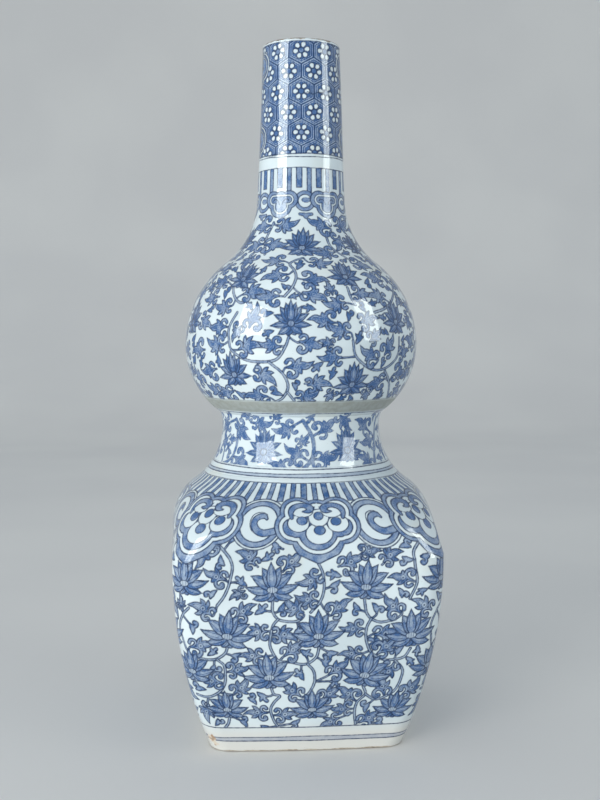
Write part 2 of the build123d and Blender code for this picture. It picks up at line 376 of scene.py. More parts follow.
# %% Leaves, buds and stems
# A form has a round middle, blades and curls. A blade is a path and half its width; a curl is a
# path with its first and last half widths. Places are in millimetres from the foot of the leaf,
# which springs upwards from its stem.
LEAVES = (
    ((0, 7.9, 3.5),
     ((((0, 6), (0.3, 11), (0.0, 15.0), (2.4, 20.6)), 2.9), (((-1.5, 7.6), (-4.4, 9.6), (-6.6, 12.6)), 1.8),
      (((1.5, 8.2), (4.2, 10.4), (5.8, 13.6)), 1.8)),
     ((((0, 0), (0.6, 3.2), (3.0, 5.9), (6.1, 5.9), (7.6, 3.3), (6.4, 1.0), (4.9, 1.4)), 0.8, 1.8),
      (((0, 0), (-0.6, 2.6), (-2.6, 4.7), (-5.3, 4.3), (-6.2, 2.0), (-4.6, 0.5)), 0.8, 1.6))),
    ((0.3, 8.5, 3.9),
     ((((0, 6), (0.1, 12), (0.6, 16.2), (-2.4, 22.0)), 3.3), (((1.4, 8.2), (4.2, 9.6), (6.9, 10.6)), 1.9),
      (((-1, 7.2), (-4, 9.4), (-6.6, 12.4)), 1.9)),
     ((((0, 0), (1.0, 3.8), (3.6, 6.9), (7.0, 6.6), (8.8, 3.4), (7.5, 0.5), (5.5, 1.1)), 0.9, 2.1),
      (((0, 0), (-0.6, 2.8), (-2.6, 5.4), (-5.3, 4.7), (-5.9, 1.6), (-3.8, -0.5)), 0.8, 1.5))),
    ((-0.3, 8.1, 3.7),
     ((((0, 6), (0.6, 11.6), (2.0, 15.6), (5.8, 19.8)), 3.1), (((-1, 8), (-4.0, 11), (-5.4, 14.8)), 1.9),
      (((-2, 6.5), (-5.6, 7.4), (-8.4, 9.2)), 1.6), (((1.6, 7.6), (5.2, 8.6), (7.6, 11.0)), 1.8)),
     ((((0, 0), (0.4, 2.8), (2.8, 5.0), (5.7, 4.4), (6.5, 1.8), (4.7, 0.4)), 0.9, 1.9),
      (((0, 0), (-0.6, 2.2), (-3.0, 3.4), (-5.1, 2.0), (-4.6, -0.2)), 0.8, 1.6))))
SHOOTS = (
    ((0, 3.0, 1.8), ((((0, 2), (-1.2, 5.4), (-4.0, 8.6)), 2.2), (((0, 2.5), (2.4, 4.9), (5.4, 6.0)), 1.6)),
     ((((0, 0), (0.2, 2.2), (2.6, 2.2), (4.2, 0.6)), 0.9, 1.7),)),
    ((0, 2.4, 1.7), ((((0, 1), (1.2, 4.8), (4.4, 8.4)), 2.2),),
     ((((0, 0), (-0.4, 2.8), (-2.8, 4.4), (-5.0, 3.0), (-4.2, 1.4)), 0.9, 1.8),)))


def sprig(w, form, strength):
    """All the strokes of a form in one outline, paler inside and along its curls."""
    (across, up, radius), blades, curls = form
    tone, outline = strength
    shape, hollow = disc(w.u, w.v, across, up, radius), np.full(w.u.shape, -FAR)
    for points, half in blades:
        path = curve(points, 4)
        shape = np.maximum(shape, stroke(w.u, w.v, path, half * swell(len(path), 0.5, 1.0)))
    for points, first, last in curls:
        path = curve(points, 4)
        width = np.linspace(first, last, len(path))
        shape = np.maximum(shape, stroke(w.u, w.v, path, width))
        hollow = np.maximum(hollow, stroke(w.u, w.v, path[4:-1], 0.42 * width[4:-1]))
    w.fill(shape, outline, tone)
    w.shade(np.maximum(shape - 1.5, hollow), tone * (0.8 if outline > 0.9 else 0.97))
    return shape


def leaf(w, form=0):
    """A curling leaf. On the body it has an eye near its middle and a second line inside its edge.
    Elsewhere it has pale scratches, and on the bulb a thin line inside them too."""
    shape = sprig(w, LEAVES[form % 3], STRENGTH[form // 3])
    across, up = ((0.1, 8.2), (0.7, 8.6), (-0.1, 8.4))[form % 3]
    away = np.hypot(w.u - across, w.v - up)
    if form < 3:
        w.shade(1.8 - away, 0.6)
        w.draw(np.maximum(np.maximum(0.8 - away, 0.22 - np.abs(away - 2.2)), np.minimum(0.2 - np.abs(shape - 1.7), away - 2.4)))
    else:
        w.shade(np.maximum(0.2 - np.abs(shape - 1.2), 0.26 - np.abs(away - 1.2)), 0.74)
        if form < 6:
            w.draw(np.minimum(0.15 - np.abs(shape - 2.0), away - 2.0))


def bud(w, form=0):
    """A small shoot: a blade or two and a curl."""
    sprig(w, SHOOTS[form % 2], STRENGTH[form // 2])


def stem(canvas, places, half, tone, outline):
    """A stem through places on the vase: two dark edges with a paler stroke between them."""
    places = np.asarray(places, float)
    turn, run = places.mean(0)
    girth = np.interp(places[:, 1], GIRTH_RUNS, GIRTHS)
    flat = np.stack([((places[:, 0] - turn + 2) % 4 - 2) * girth, places[:, 1] - run], 1)
    window = canvas.near(turn, run, np.abs(flat).max() + 5)
    if window:
        path = curve(flat, 6)
        window.fill(stroke(window.x, window.y, path, even(path, half)), outline, tone)
        window.keep()


# %% [markdown]
# The collar on the shoulder is made of ruyi heads, a lobed cloud with a pointed tip, with a
# curl between each two. Both are built like a cake: every band is the same outline, set in.


# %% The collar
def ruyi_shape(w, pointed=True):
    """Inside depth of a ruyi head: two upper lobes, two side lobes and a wide lower one. The
    outer edge's lower lobe is cut to a blunt point by two slopes; the bands inside it are round."""
    x, y = w.u, w.v
    shape = np.maximum(disc(np.abs(x), y, 14.4, 12.8, 13.4), disc(np.abs(x), y, 20.0, 1.5, 12.6))
    shape = np.maximum(shape, disc(x, y, 0, 10.5, 13.5))
    slopes = 0.9 * (y + 26.2 - np.abs(x) / 2.1)
    if pointed:
        return np.maximum(shape, np.minimum(disc(x, y, 0, -5.5, 20.2), slopes))
    bridge = stroke(x, y, np.array([(-17.0, -1.0), (17.0, -1.0)]), (11.0, 11.0))
    return np.maximum(shape, np.maximum(bridge, disc(x, y, 0, -0.8, 21.2)))


def bands(w, shape, widths, outline=0.9):
    """Nested bands from a shape's edge inwards: each is blue where its tone is above zero."""
    depth = 0
    for width, tone in widths:
        w.fill((shape - depth) / w.size, outline, tone, tone > 0)
        depth += width


def ruyi(w):
    """A ruyi head: blue and white bands round four scallops with blue dots, under two curls."""
    x, y = w.u, w.v
    bands(w, ruyi_shape(w), ((12, 0.8),), 1.0)
    bands(w, ruyi_shape(w, False) - 3.0, ((3.2, 0), (12, 0.82)), 1.0)
    w.fill(stroke(x, y, np.array([(0, 19.4), (0, 13.0)]), (1.3, 1.9)), 0, 0, False)
    for across, up, radius, flat in ((0.8, -3.2, 10.2, 0.8), (-14.6, 4.4, 8.2, 0.77), (15.4, 4.0, 8.2, 0.77),
                                     (0.8, 8.8, 7.7, 0.88), (-11.2, 13.6, 7.9, 0.54), (11.2, 13.4, 7.9, 0.54)):
        w.fill(disc(x, y, across, up, radius, flat), 1.0, 0, False)
    for across, up, radius, flat in ((0.8, 10.2, 3.5, 0.9), (-11.8, 6.5, 3.9, 0.8),
                                     (13.8, 5.8, 3.9, 0.8), (1.2, -0.8, 4.2, 0.8)):
        w.fill(disc(x, y, across, up, radius, flat), 0.9, 1.05)
    for side in (-1, 1):
        points = ((19.4, 9.0), (19.8, 13.2), (17.0, 17.2), (12.0, 19.0), (7.2, 18.2), (5.0, 15.9), (7.0, 14.0), (10.8, 13.7))
        curl = curve([(side * across, up) for across, up in points], 4)
        half = np.interp(np.linspace(0, 1, len(curl)), (0, 0.2, 0.5, 0.68, 0.85, 1), (1.3, 2.0, 1.9, 2.7, 1.6, 0.4))
        w.fill(stroke(x, y, curl, half), 0.9, 0.88)


def scroll_shape(w):
    """Inside depth of the curl between two ruyi heads: a plain disc."""
    return disc(w.u, w.v, 0, 0, 19.8)


def scroll(w):
    """The curl between two heads: a line and a blue ring round a white disc, and a hook in it."""
    bands(w, scroll_shape(w), ((2.0, 0), (4.0, 0.78), (15, 0)), 1.0)
    edge = curve([(5.0, 6.9), (0.4, 8.6), (-5.0, 6.6), (-6.6, 1.0), (-4.6, -4.6), (0, -8.0), (5.6, -9.6), (12.5, -8.0)], 4)
    w.draw(stroke(w.u, w.v, edge, even(edge, 0.38)))
    hook = curve([(5.6, 3.4), (3.6, 5.4), (0.4, 5.4), (-2.8, 3.0), (-3.2, -1.0), (0, -5.2), (5.2, -7.2), (12.5, -5.8)], 4)
    w.fill(stroke(w.u, w.v, hook, np.interp(np.linspace(0, 1, len(hook)), (0, 0.25, 1), (0.8, 2.1, 2.5))), 0.9, 0.84)


COLLAR_TURN, COLLAR_RUN = 0.03, 184.5


def collar(canvas, heads=ruyi, curls=scroll):
    """Eight ruyi heads, at the middle of each face and at each corner, and eight curls."""
    for place in range(8):
        paint(canvas, curls, COLLAR_TURN + 0.25 + place / 2, COLLAR_RUN + 4.5, reach=22)
    for place in range(8):
        paint(canvas, heads, COLLAR_TURN + place / 2, COLLAR_RUN, reach=36)


# %% [markdown]
# Bands of lappets hang like a fringe: long narrow bars reach the foot of the band, and
# shorter, wider bars stand between them in a white margin.


# %% Lappets and plain lines
def lappets(canvas, low, high, count, offset, long_half, short_half, short_gap):
    """Bars of two kinds, side by side all the way round, on a white ground between two runs."""
    w = canvas.rows(low - 1, high + 1)
    if not w:
        return
    up = w.y - low
    between = np.minimum(up, high - low - up)
    w.fill(between, 0, 0, False)
    share = ((w.x / w.canvas.girths[w.where[0]] - offset) * count / 4) % 1
    pitch = 4 * w.canvas.girths[w.where[0]] / count
    long_bar = np.minimum(long_half - np.minimum(share, 1 - share) * pitch, between + 1)
    short_bar = np.minimum(short_half - np.abs(share - 0.5) * pitch, np.minimum(up - short_gap, between + 1))
    w.fill(long_bar, 0.85, 0.84)
    w.fill(short_bar, 0.85, 0.92)
    w.keep()


def plain(canvas, low, high):
    """Clears the ground between two runs."""
    w = canvas.rows(low - 2, high + 2)
    if w:
        w.fill(np.minimum(w.y - low, high - w.y), 0, 0, False)
        w.keep()


def wash_ring(canvas, low, high, tone):
    """A pale wash between two lines."""
    w = canvas.rows(low - 2, high + 2)
    if w:
        w.fill(np.minimum(w.y - low, high - w.y), 0, tone)
        w.keep()


def ring(canvas, run, half=0.55, wander=0.25):
    """A line drawn on the wheel: it wanders by a slow wave as the brush is held by hand."""
    w = canvas.rows(run - 4, run + 4)
    if w:
        sway = wander * np.sin(w.canvas.turns * pi * 1.5 + run) + 0.4 * wander * np.sin(w.canvas.turns * pi * 5.5 + run)
        w.draw(half - np.abs(w.y - run - sway))
        w.keep()


# %% [markdown]
# The neck carries a small ruyi band, and above it a diaper of hexagons, each with a six
# petalled flower. A hexagon's edge is where two neighbouring centres are equally near.


# %% The neck's patterns
def small_ruyi(w):
    """A small ruyi head in a blue swag: a white trefoil line round a blue middle with a curl."""
    x, y = w.u, w.v
    shape = np.maximum(disc(np.abs(x), y, 7.2, 2.8, 7.0), disc(x, y, 0, -2.4, 9.6))
    shape = np.maximum(shape, disc(x, y, 0, 1.8, 7.6))
    bands(w, np.maximum(shape, stroke(x, y, np.array([(0, -6.0), (0, -13.5)]), (6, 0))), ((12, 0.84),))
    inner = np.maximum(stroke(x, y, np.array([(-6.6, 2.8), (6.6, 2.8)]), (4.3, 4.3)), disc(x, y, 0, -2.4, 6.7))
    bands(w, inner, ((1.7, 0), (12, 0.84)), 0.7)
    for side in (-1, 1):
        hook = curve([(side * 1.2, -1.0), (side * 2.6, 2.2), (side * 5.6, 3.4), (side * 7.0, 1.8)], 3)
        w.draw(stroke(x, y, hook, even(hook, 0.4)))


def small_curl(w):
    """The arch between two small heads: a blue ring round a white crescent."""
    x, y = w.u, w.v
    bands(w, disc(x, y, 0, 0, 8.2), ((2.9, 0.84), (8, 0)), 0.8)
    w.fill(disc(x, y, 0.9, 0.9, 3.4, 0.6), 0.7, 0.8)


def trefoil(w):
    """The little three leaved drop under each arch."""
    path = np.array([(-4.8, 0.6), (0, -0.2), (4.8, 0.6)])
    shape = np.maximum(stroke(w.u, w.v, path, (1.0, 1.5, 1.0)), disc(w.u, w.v, 0, -1.3, 1.9))
    w.fill(shape, 0.8, 0.85)


def floret(w, petals=6, reach=4.7, radius=2.05):
    """A round flower: separate white petals, each outlined in dark blue, about a blue middle."""
    for place in range(petals):
        angle = 2 * pi * (place + 0.5) / petals
        path = np.array([(4.0 * sin(angle), 4.0 * cos(angle)), (reach * sin(angle), reach * cos(angle))])
        w.fill(stroke(w.u, w.v, path, (1.6, radius)), 0.8, 0, False)
    w.fill(disc(w.u, w.v, 0, 0, 2.1), 0.7, 1.0)


HEX_TURN, HEX_PITCH, HEX_ROW = -0.04, 0.4, 16.2
HEX_RUN = run_at(551.8)


def hexagons(canvas, low, high):
    """Inside a band, the distance to the nearest cell edge is half the difference of the
    squares of the distances to the two nearest centres, over the cells' spacing."""
    w = canvas.rows(low - 1, high + 1)
    if not w:
        return
    girth = w.canvas.girths[w.where[0]]
    pitch = HEX_PITCH * girth
    tall = pitch * 0.866 / HEX_ROW
    nearest, second = np.full(w.x.shape, 1e9), np.full(w.x.shape, 1e9)
    for row in range(-2, 8):
        up = (w.y - HEX_RUN + row * HEX_ROW) * tall
        shift = HEX_TURN + (row % 2) * HEX_PITCH / 2
        for side in (0, 1):
            share = (w.x / girth - shift) / HEX_PITCH
            across = (share - np.floor(share) - side) * pitch
            square = across**2 + up**2
            second = np.minimum(second, np.maximum(square, nearest))
            nearest = np.minimum(nearest, square)
    edge = (second - nearest) / (2 * pitch)
    band = np.minimum(w.y - low, high - w.y)
    w.fill(band, 0.9, 1.24)
    pale = np.maximum(0.42 - np.abs(edge - 1.0), 0.26 - np.abs(edge - 2.5))
    w.shade(np.minimum(pale, band), 0.6)
    dark = np.maximum(0.42 - np.abs(edge), np.maximum(0.2 - np.abs(edge - 1.8), 0.16 - np.abs(edge - 3.2)))
    w.draw(np.minimum(dark, band))
    w.keep()


def panel(w):
    """A lobed window in the diaper: white and blue bands round a blue ground. Its lotus is painted by decorate."""
    x, y = w.u, w.v
    shape = np.maximum(disc(np.abs(x), y, 7, 0, 11.5), disc(x, np.abs(y), 0, 5.5, 11))
    bands(w, shape, ((1.7, 0), (1.6, 0.85), (1.4, 0), (12, 0.85)))


# %% [markdown]
# Where each stem, leaf and flower goes was read off a photograph: the places below are in
# pixels, and are put onto the vase along the camera's line of sight.
# The pattern on the body repeats on every face and runs on round the corners; on the waist
# and the bulb the front half repeats on the back.

# %% Where the painter put them
BODY_FLOWERS = ((-0.145, 135, 1.0, 6), (0.21, 136, 1.0, -4), (-0.48, 140, 0.95, 0), (-0.325, 99, 1.0, -4),
                (0.032, 98, 1.0, 0), (0.4, 97, 1.0, 6), (-0.17, 65, 1.0, 3), (0.23, 65, 1.0, -8), (-0.49, 70, 0.9, 0),
                (-0.37, 38, 0.8, 0), (0.013, 37, 0.85, 4), (0.385, 35, 0.8, -3))
BODY_STEMS = (
    ((272, 600), (273, 612), (278, 619), (287, 621.5), (297, 621), (302, 619)),
    ((278, 619), (273, 626), (270.5, 636), (270.5, 646), (274, 655), (279, 660.5), (290, 662.5), (301, 664),
     (309, 662.5), (316, 657), (319.5, 647)),
    ((308, 664), (314, 671), (315, 682), (310, 692), (304, 697)),
    ((189, 608), (183, 614), (180.5, 626), (183, 639), (189, 652), (201, 658), (214, 659), (225, 653), (228, 645)),
    ((217.5, 659), (224, 665), (226, 675), (224, 684), (218.5, 692), (208, 697), (197, 694)),
    ((270.5, 687), (274, 694), (280, 696), (274, 702), (271, 710), (274, 720), (278, 726)),
    ((230, 716), (229, 723), (225, 728)),
    ((365, 600), (366, 612), (371.5, 618), (380, 621.5), (390, 621), (395, 619)),
    ((371.5, 619), (367, 628), (366, 639), (369.5, 650), (376, 656), (385, 659.5), (394.5, 659), (404, 657), (410, 648)),
    ((363, 686), (365, 694), (357.5, 702), (354, 711.5), (355, 723)),
    ((365, 694), (374, 698.5), (385, 697), (395, 689), (402, 677), (402, 668), (395.5, 660.5)),
    ((317, 562), (323.5, 573), (324.5, 589), (320.5, 602), (311, 612)),
    ((212, 539), (224, 550), (231.5, 564), (229.5, 582), (224, 596), (217.5, 606)),
    ((422, 534), (413.5, 550), (415.5, 564), (417, 582), (410, 598)),
)
BODY_LEAVES = (
    (203, 608, 50), (243.5, 610.6, -50), (295.6, 611.7, 55), (306.5, 607, None), (259.8, 633, 95), (282.6, 634.5, -85),
    (200, 648.6, -75), (252, 655, 85), (289, 654, -50), (236, 670, -80), (207.7, 686.5, None), (242, 687.6, -50),
    (294.5, 692, 50), (206.6, 711.5, None), (258.7, 711.5, 90), (284.7, 714.7, -85), (340, 608, -50),
    (394, 608, 50), (354, 629, 90), (378, 630, -85), (351, 653, 90), (388, 652, -50), (331.5, 670, -50),
    (391, 672, None), (331.5, 689.8, -50), (352, 692, None), (382, 691, None), (343.4, 704, 90), (332.5, 719, None),
    (204.6, 555, None), (249, 557, 45), (292, 562.5, -45), (351, 560.7, None), (390.4, 555, -45), (219, 577, None),
    (311.8, 580, None), (403, 578.6, None), (364, 712.6, None),
)
BODY_BUDS = (
    (262, 611, None), (277, 611, -60), (192.5, 627, None), (214, 670, None), (233.8, 654, None), (265, 694, 90),
    (244.6, 722, None), (271.7, 725.6, None), (295.6, 723, None), (302, 670, None), (293, 623.6, 180),
    (360.7, 610.6, None), (377, 608, 0), (371.6, 643.7, -60), (328, 652, None), (310, 653, None), (333.6, 679, None),
    (404, 652, None), (370.5, 701.7, None), (380, 722, None), (276, 547, None), (233, 539, None), (240, 582, None),
    (333, 586, None), (321.7, 659, None),
)
BULB_FLOWERS = ((302, 248, 1.05), (345, 277, 0.95), (243, 279, 0.95), (291, 324, 1.0), (396, 323, 1.0), (193, 323, 1.0),
                (234, 375.5, 1.0), (352, 384.5, 1.0), (354, 248, 0.75), (247, 243, 0.75))
BULB_STEMS = (
    ((274, 223), (266, 240), (265, 255)), ((326, 237), (331.5, 248), (349, 260)),
    ((303, 258), (296, 260.5), (290, 264), (294, 270), (296, 278), (292, 287), (285, 296)),
    ((233, 287), (233.5, 293), (236, 299), (240, 302), (244, 303)),
    ((347, 287), (350, 297), (355, 305)), ((392, 285), (393, 294), (390.5, 303), (384, 309), (374, 312)),
    ((237, 312), (229, 328), (229, 341), (231.5, 350), (244, 358.5), (260, 362), (276, 360), (285, 348), (289, 337)),
    ((269, 362), (283, 373), (288, 387), (283, 398), (276, 401)), ((288, 392), (294, 401)),
    ((353, 341), (356, 357), (371, 369), (385, 369), (397, 357), (399, 338)), ((385, 371), (389.5, 382), (387, 398)),
)
BULB_LEAVES = (
    (263.6, 227), (286.8, 226), (320.7, 226), (342, 224.6), (274, 245), (322.5, 249.6), (256, 246), (274, 261),
    (320.7, 263), (358, 264), (226, 268), (276, 276), (313.6, 280), (374, 278), (221.6, 282), (269, 296),
    (313.6, 295), (244.8, 298), (361, 294), (379, 298), (211, 298), (336, 305), (222.5, 307), (324, 321),
    (338.6, 330), (219.8, 328), (215, 344), (198, 350), (247.5, 346), (270.7, 346), (310, 344), (370.7, 355),
    (331.4, 358.6), (209, 371), (265.4, 376), (297.5, 366), (319, 383.6), (379, 380), (399, 373), (226, 392.5),
    (257, 396), (305.5, 398),
)
WAIST_FLOWERS = ((263.5, 452, 1.1), (347.5, 450, 1.1))
WAIST_STEMS = (((237, 419), (233, 455), (221, 464)), ((303, 421), (312, 437), (313.5, 451), (310, 462), (297.5, 473)),
               ((312, 460), (315, 470)), ((376, 417), (374, 437), (376, 466)))
WAIST_LEAVES = ((285, 430), (262, 425), (242, 430), (326, 428), (363.5, 425), (226, 441), (296, 453), (324, 458.5),
                (279.6, 466), (238.6, 460), (367, 460), (369, 441), (227, 425))


# %% [markdown]
# A leaf springs from the nearest stem, so where no lean is given it points away from
# there. The painter's hand is never quite the same twice, so each copy strays a little.


# %% Lay the pattern out
def offset(start, end):
    """Millimetres across and up from one place to another, the short way round."""
    girth = np.interp((start[1] + end[1]) / 2, GIRTH_RUNS, GIRTHS)
    return ((end[0] - start[0] + 2) % 4 - 2) * girth, end[1] - start[1]


def away_from(place, stems):
    """The lean that points from the nearest point of the stems to a place, in degrees."""
    gaps = np.array([offset(point, place) for path in stems for point in path])
    gap = gaps[np.argmin((gaps**2).sum(1))]
    return -np.degrees(np.arctan2(gap[0], gap[1]))


hand = np.random.default_rng(7)
FLOWER_ROOM, LEAF_ROOM, BUD_ROOM, STEM_ROOM = 14.0, 7.6, 4.6, 5.0


def spread(places, rooms, flowers, stems, period):
    """Places nudged apart: where two are nearer than their rooms, each moves by a share of the
    overlap, away from the other. Flowers and stems don't move, and no place strays over 6 mm."""
    places = np.array(places, float)
    start = places.copy()
    fixed = [(place, FLOWER_ROOM * size) for place, _, size in flowers]
    fixed += [(point, STEM_ROOM) for path in stems for point in path]
    fixed_places, fixed_rooms = np.array([f[0] for f in fixed]), np.array([f[1] for f in fixed])

    def push(target, other, room):
        """How far the targets are pushed by the others, in mm across and up."""
        girth = np.interp(target[:, None, 1], GIRTH_RUNS, GIRTHS)
        across = target[:, None, 0] - other[None, :, 0]
        across = ((across + period / 2) % period - period / 2) * girth
        gap = np.stack([across, target[:, None, 1] - other[None, :, 1]], -1)
        away = np.maximum(np.hypot(gap[..., 0], gap[..., 1]), 1e-3)
        over = np.where(away < 1e-2, 0, np.maximum(room - away, 0))
        return (gap / away[..., None] * over[..., None]).sum(1)

    for _ in range(60):
        shift = 0.25 * push(places, places, rooms[:, None] + rooms[None, :])
        shift += 0.35 * push(places, fixed_places, 0.92 * rooms[:, None] + fixed_rooms[None, :] * 0.92)
        shift = np.clip(shift, -1, 1)
        girth = np.interp(places[:, 1], GIRTH_RUNS, GIRTHS)
        places = places + np.stack([shift[:, 0] / girth, shift[:, 1]], 1)
        limit = np.stack([6 / girth, np.full(len(places), 6.0)], 1)
        places = np.clip(places, start - limit, start + limit)
    return places


LEAF_MIDDLE, BUD_MIDDLE = 8.5, 3.5


def stalk(place, lean, size, kind, stems):
    """A short curve from the nearest point of a stem to the foot of a leaf or a bud, as places."""
    points = np.array([point for path in stems for point in path])
    gaps = np.array([offset(place, point) for point in points])
    back = (LEAF_MIDDLE if kind == "leaf" else BUD_MIDDLE) * size
    axis = np.array([-sin(radians(lean)), cos(radians(lean))])
    foot, lead = -axis * (back - 2), -axis * (back + 2.5)
    near = gaps[np.argmin(((gaps - lead) ** 2).sum(1))]
    if np.hypot(*(near - foot)) > 16:
        near = lead
    path = np.array([near, 0.5 * (lead + near), 0.8 * lead + 0.2 * foot, foot])
    girth = np.interp(place[1], GIRTH_RUNS, GIRTHS)
    return np.stack([place[0] + path[:, 0] / girth, place[1] + path[:, 1]], 1)


def any_form(kind, field):
    """One of a field's forms of a leaf or a bud, by chance."""
    forms = 3 if kind == "leaf" else 2
    return forms * field + hand.integers(forms)


def lay_out(flowers, stems, leaves, buds, copies, period, full=0):
    """Every motif of a field as (kind, place, lean, flip, size, form), repeated all the way round.
    The bulb's leaves lie sideways, so there a lean is drawn most of the way to a quarter turn."""
    laid = []
    rooms = np.array([LEAF_ROOM * leaf[2] for leaf in leaves] + [BUD_ROOM * bud[2] for bud in buds])
    apart = spread([one[0] for one in leaves + buds], rooms, flowers, stems, period)
    leaves = [(place, *rest[1:]) for place, rest in zip(apart, leaves)]
    buds = [(place, *rest[1:]) for place, rest in zip(apart[len(leaves) :], buds)]
    for copy in range(copies):
        move = np.array([copy * period, 0])
        for path in stems:
            laid.append(("stem", [place + move for place in path], 0, 1, 1, full))
        for kind, places in (("leaf", leaves), ("bud", buds)):
            for place, lean, size in places:
                lean = away_from(place, stems) if lean is None else lean
                if full == 1:
                    lean = 0.3 * lean + 0.7 * np.copysign(90, lean)
                laid.append(("stalk", stalk(place, lean, size, kind, stems) + move, 0, 1, 1, full))
                lean += hand.normal(0, 5)
                size = size * hand.uniform(0.94, 1.05)
                flip = 1 if hand.random() < 0.5 else -1
                laid.append((kind, place + move, lean, flip, size, any_form(kind, full)))
        for place, lean, size in flowers:
            laid.append(("lotus", place + move, lean + hand.normal(0, 2.5), 1, size, full))
    return laid


def seen_at(x, y):
    """A pixel's place on the vase, as an array."""
    return np.array(spot(x, y))


body = lay_out(
    [(np.array([turn, run_at(height)]), lean, size) for turn, height, size, lean in BODY_FLOWERS],
    [[seen_at(*point) for point in path] for path in BODY_STEMS],
    [(seen_at(x, y), lean, 0.9) for x, y, lean in BODY_LEAVES],
    [(seen_at(x, y), lean, 0.9) for x, y, lean in BODY_BUDS], 4, 1)
bulb = lay_out(
    [(seen_at(x, y), 0, 0.94 * size) for x, y, size in BULB_FLOWERS],
    [[seen_at(*point) for point in path] for path in BULB_STEMS],
    [(seen_at(x, y), None, 0.94) for x, y in BULB_LEAVES], [], 2, 2, 1)
waist = lay_out(
    [(seen_at(x, y), 0, 0.9 * size) for x, y, size in WAIST_FLOWERS],
    [[seen_at(*point) for point in path] for path in WAIST_STEMS],
    [(seen_at(x, y), None, 0.92) for x, y in WAIST_LEAVES], [], 2, 2, 2)
print("motifs laid out:", len(body) + len(bulb) + len(waist))

MOTIFS = {"leaf": leaf, "bud": bud, "lotus": lotus}
# Half width, tone and outline of the stems on the body, the bulb and the waist.
STEMS = {"stem": ((0.85, 0.62, 0.8), (0.9, 0.7, 0.7), (1.45, 0.86, 0.3)),
         "stalk": ((0.65, 0.8, 0.8), (0.65, 0.9, 0.6), (0.95, 0.94, 0.3))}


def strew(canvas, laid):
    """Paints a laid out field: stems first, then leaves and buds, and the flowers on top."""
    for kind in ("stalk", "stem", "bud", "leaf", "lotus"):
        for name, place, lean, flip, size, form in laid:
            if name != kind:
                continue
            if kind in ("stem", "stalk"):
                stem(canvas, place, *STEMS[kind][form])
                continue
            back = {"leaf": LEAF_MIDDLE, "bud": BUD_MIDDLE, "lotus": 0.0}[kind] * size
            girth = np.interp(place[1], GIRTH_RUNS, GIRTHS)
            turn = place[0] + back * sin(radians(lean)) / girth
            paint(canvas, MOTIFS[kind], turn, place[1] - back * cos(radians(lean)), lean, flip, size, form=form)


# %% [markdown]
# Last, the painter looks for bare ground and drops a bud or a small leaf into it. Here that is
# a search on a coarse canvas: the barest place gets a motif of its own size, then the next.


# %% Fill the bare ground
def bare_ground(laid, low, high, least, field, block=None):
    """Adds motifs at the barest places between two runs until none is barer than least."""
    plan = Canvas(np.arange(0, 4, 0.0125), np.arange(low - 12, high + 12, 1.6))
    strew(plan, laid)
    if block:
        block(plan)
    allowed = ((plan.runs > low) & (plan.runs < high))[:, None]
    margin = np.minimum(plan.runs - low, high - plan.runs)[:, None] + 1.5
    added = []
    for _ in range(400):
        bare = np.where(allowed, np.minimum(-np.maximum(plan.line, plan.wash), margin), 0)
        row, column = np.unravel_index(np.argmax(bare), bare.shape)
        room = bare[row, column]
        if room < least:
            break
        place = np.array([plan.turns[column], plan.runs[row]])
        kind = "leaf" if room > 5.5 else "bud"
        size = min(room / (9.3 if kind == "leaf" else 5.6), 0.95)
        motif = (kind, place, hand.uniform(-180, 180), 1 if hand.random() < 0.5 else -1, size, any_form(kind, field))
        added.append(motif)
        strew(plan, [motif])
    return laid + added


def block_collar(plan):
    """Marks the collar as taken, so that nothing is dropped into it."""
    collar(plan, lambda w: w.draw(ruyi_shape(w)), lambda w: w.draw(scroll_shape(w)))


BODY_LOW, FRINGE_LOW, FRINGE_HIGH = run_at(23.5), run_at(198.5), run_at(212.0)
WAIST_LOW, WAIST_HIGH = run_at(223.2), run_at(264.8)
BULB_LOW, BULB_HIGH = run_at(275.2), run_at(415)
body = bare_ground(body, BODY_LOW, FRINGE_LOW, 4.1, 0, block_collar)
waist = bare_ground(waist, WAIST_LOW, WAIST_HIGH, 4.5, 2)
bulb = bare_ground(bulb, BULB_LOW, BULB_HIGH, 3.7, 1)
print("motifs with the fillers:", len(body) + len(bulb) + len(waist))


CRACKS = (((307, 92), (313, 94), (318, 92.5), (323, 93), (327, 89)), ((283, 45), (285, 50), (284.5, 54), (286, 58)))


def crack(canvas, path):
    """A hairline through the glaze, along places read off in pixels."""
    places = np.array([seen_at(*point) for point in path])
    turn, run = places.mean(0)
    window = canvas.near(turn, run, 22)
    if window:
        flat = np.array([offset((turn, run), place) for place in places])
        window.draw(stroke(window.x, window.y, flat, even(flat, 0.36)))
        window.keep()


# %% [markdown]
# With the fields laid out, the whole painting is one recipe, from the foot to the rim.


